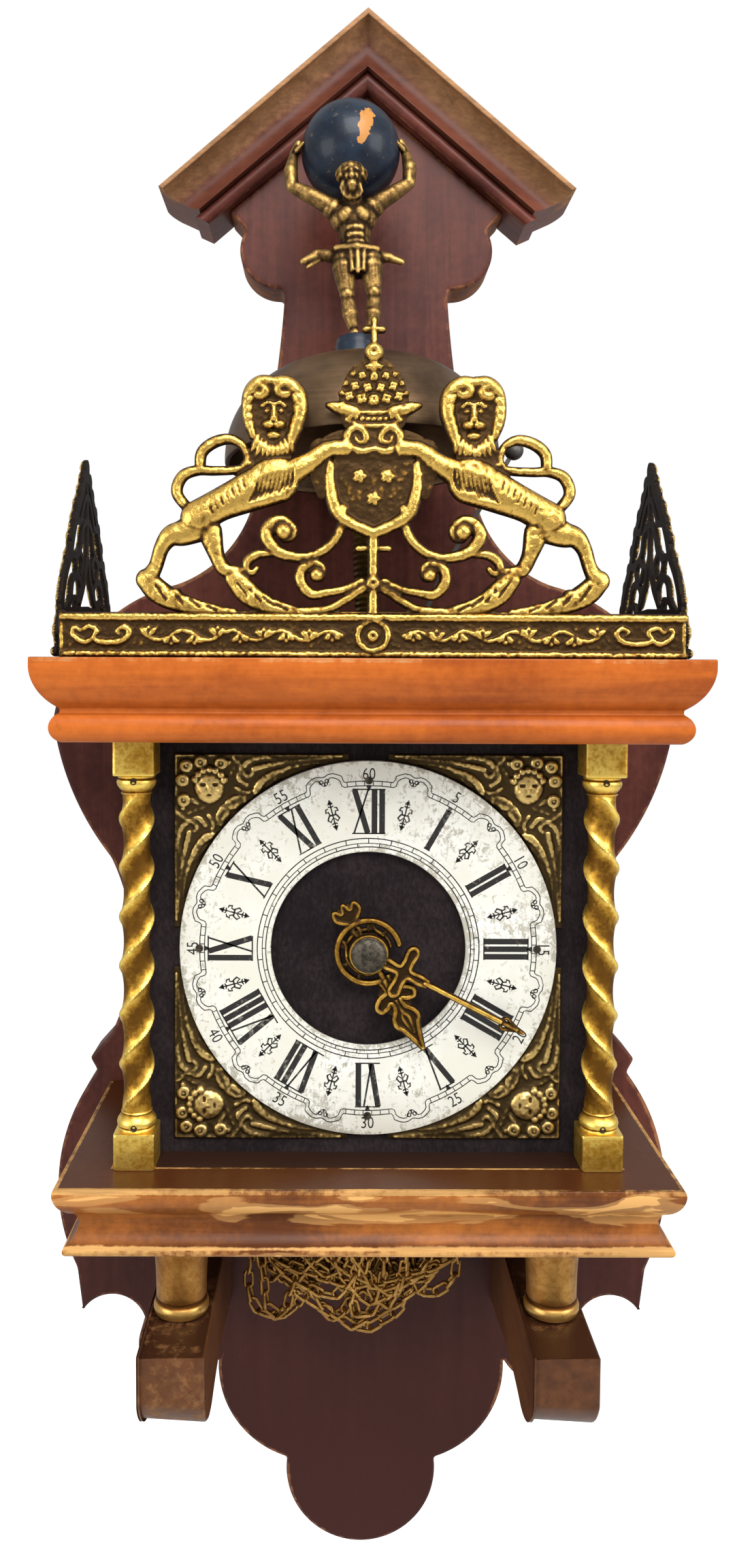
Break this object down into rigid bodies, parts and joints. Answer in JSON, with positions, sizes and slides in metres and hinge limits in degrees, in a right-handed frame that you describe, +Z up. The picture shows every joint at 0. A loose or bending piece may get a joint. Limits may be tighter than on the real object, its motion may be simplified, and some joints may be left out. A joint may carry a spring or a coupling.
{
  "type": "dutch wall clock",
  "caption": "Wall clock with a carved backboard and gable, twisted brass columns, a brass crest with lions, a bell with a globe bearer, side doors, and a movement with turning hands.",
  "frame": {"origin": "centre of the hole in the hanger plate, on the plane of the wall", "axes": "+X to the right as seen from the front, +Y into the wall along the hanger hole, +Z up"},
  "size_m": [0.286, 0.14, 0.6996],
  "materials": {
    "board_wood": "worn red-brown varnish",
    "gable_wood": "worn varnish rubbed to the wood",
    "case_wood": "worn orange varnish",
    "inner_wood": "plain stained wood",
    "velvet": "covered with dark velvet",
    "silvered": "silvered and worn, black printing",
    "cast_brass": "cast, dark in the hollows",
    "turned_brass": "aged satin",
    "hand_brass": "gilt, worn",
    "movement_brass": "satin",
    "steel": "satin",
    "iron": "dull, oiled",
    "bell_metal": "dark, satin",
    "blue_paint": "gloss",
    "pane": "clear",
    "chain_brass": "aged"
  },
  "bodies": {
    "clock": {"atlas_base": "blue_paint", "atlas_figure": "cast_brass", "atlas_globe": "blue_paint", "backboard": "board_wood", "base_board": "inner_wood", "base_moulding_front": "case_wood", "base_moulding_left": "case_wood", "base_moulding_right": "case_wood", "bell": "bell_metal", "bell_post": "iron", "bracket_left": "board_wood", "bracket_right": "board_wood", "case_posts": "inner_wood", "case_top": "inner_wood", "chains": "chain_brass", "chapter_ring": "silvered", "column_front_left": "turned_brass", "column_front_right": "turned_brass", "columns_rear": "turned_brass", "cornice_front": "case_wood", "cornice_left": "case_wood", "cornice_right": "case_wood", "crest_fret": "cast_brass", "crest_rail": "cast_brass", "dial_board": "velvet", "dial_rivets": "steel", "foot_left": "turned_brass", "foot_right": "turned_brass", "gable_beads": "gable_wood", "gable_moulding_left": "gable_wood", "gable_moulding_right": "gable_wood", "hanger_plate": "steel", "hanger_screws": "steel", "movement_front_plate": "movement_brass", "movement_pillars": "steel", "movement_rear_plate": "movement_brass", "side_fret_left": "cast_brass", "side_fret_right": "cast_brass", "spandrels": "cast_brass", "suspension_cock": "movement_brass"},
    "minute": {"centre_wheel": "movement_brass", "minute_hand": "hand_brass", "hand_cap": "steel"},
    "hour": {"hour_wheel": "movement_brass", "hour_hand": "hand_brass"},
    "going_great": {"going_great_wheel": "movement_brass"},
    "third": {"third_wheel": "movement_brass"},
    "escape": {"escape_wheel": "movement_brass"},
    "minute_works": {"minute_wheel": "movement_brass"},
    "anchor_arbor": {"anchor": "steel"},
    "strike_great": {"strike_great_wheel": "movement_brass"},
    "pin_wheel": {"strike_pin_wheel": "movement_brass"},
    "fly_arbor": {"fly": "steel"},
    "hammer_arm": {"hammer": "iron"},
    "left_door": {"door_left": "case_wood", "door_glass_left": "pane", "door_knob_left": "turned_brass"},
    "right_door": {"door_right": "case_wood", "door_glass_right": "pane", "door_knob_right": "turned_brass"}
  },
  "joints": [
    {"name": "minute_turn", "type": "hinge", "parent": "clock", "child": "minute", "pos_m": [0, -0.062, -0.335], "axis": [0, 1, 0], "continuous": true},
    {"name": "hour_turn", "type": "hinge", "parent": "clock", "child": "hour", "pos_m": [0, -0.062, -0.335], "axis": [0, 1, 0], "continuous": true},
    {"name": "going_great_turn", "type": "hinge", "parent": "clock", "child": "going_great", "pos_m": [-0.01485, -0.062, -0.34985], "axis": [0, 1, 0], "continuous": true},
    {"name": "third_turn", "type": "hinge", "parent": "clock", "child": "third", "pos_m": [-0.00554, -0.062, -0.31978], "axis": [0, 1, 0], "continuous": true},
    {"name": "escape_turn", "type": "hinge", "parent": "clock", "child": "escape", "pos_m": [-0.00224, -0.062, -0.30746], "axis": [0, 1, 0], "continuous": true},
    {"name": "minute_works_turn", "type": "hinge", "parent": "clock", "child": "minute_works", "pos_m": [-0.01128, -0.062, -0.3391], "axis": [0, 1, 0], "continuous": true},
    {"name": "anchor_swing", "type": "hinge", "parent": "clock", "child": "anchor_arbor", "pos_m": [-0.00224, -0.062, -0.29346], "axis": [0, 1, 0], "range_deg": [-3, 3]},
    {"name": "strike_great_turn", "type": "hinge", "parent": "clock", "child": "strike_great", "pos_m": [0.023, -0.062, -0.35], "axis": [0, 1, 0], "continuous": true},
    {"name": "pin_wheel_turn", "type": "hinge", "parent": "clock", "child": "pin_wheel", "pos_m": [0.02821, -0.062, -0.33043], "axis": [0, 1, 0], "continuous": true},
    {"name": "fly_turn", "type": "hinge", "parent": "clock", "child": "fly_arbor", "pos_m": [0.02612, -0.062, -0.31861], "axis": [0, 1, 0], "continuous": true},
    {"name": "hammer_lift", "type": "hinge", "parent": "clock", "child": "hammer_arm", "pos_m": [0.015, -0.062, -0.273], "axis": [0, 1, 0], "range_deg": [0, 7], "stiffness_Nm_per_rad": 0.02, "springref_deg": -17.19},
    {"name": "left_door_swing", "type": "hinge", "parent": "clock", "child": "left_door", "pos_m": [-0.0782, -0.0485, -0.335], "axis": [0, 0, -1], "range_deg": [0, 95]},
    {"name": "right_door_swing", "type": "hinge", "parent": "clock", "child": "right_door", "pos_m": [0.0782, -0.0485, -0.335], "axis": [0, 0, 1], "range_deg": [0, 95]}
  ],
  "couplings": [
    {"joint": "hour_turn", "follows": "minute_turn", "ratio": 0.083333},
    {"joint": "going_great_turn", "follows": "minute_turn", "ratio": -0.16667},
    {"joint": "third_turn", "follows": "minute_turn", "ratio": -8},
    {"joint": "escape_turn", "follows": "minute_turn", "ratio": 60},
    {"joint": "minute_works_turn", "follows": "minute_turn", "ratio": -0.33333},
    {"joint": "pin_wheel_turn", "follows": "strike_great_turn", "ratio": -8},
    {"joint": "fly_turn", "follows": "strike_great_turn", "ratio": 56}
  ]
}
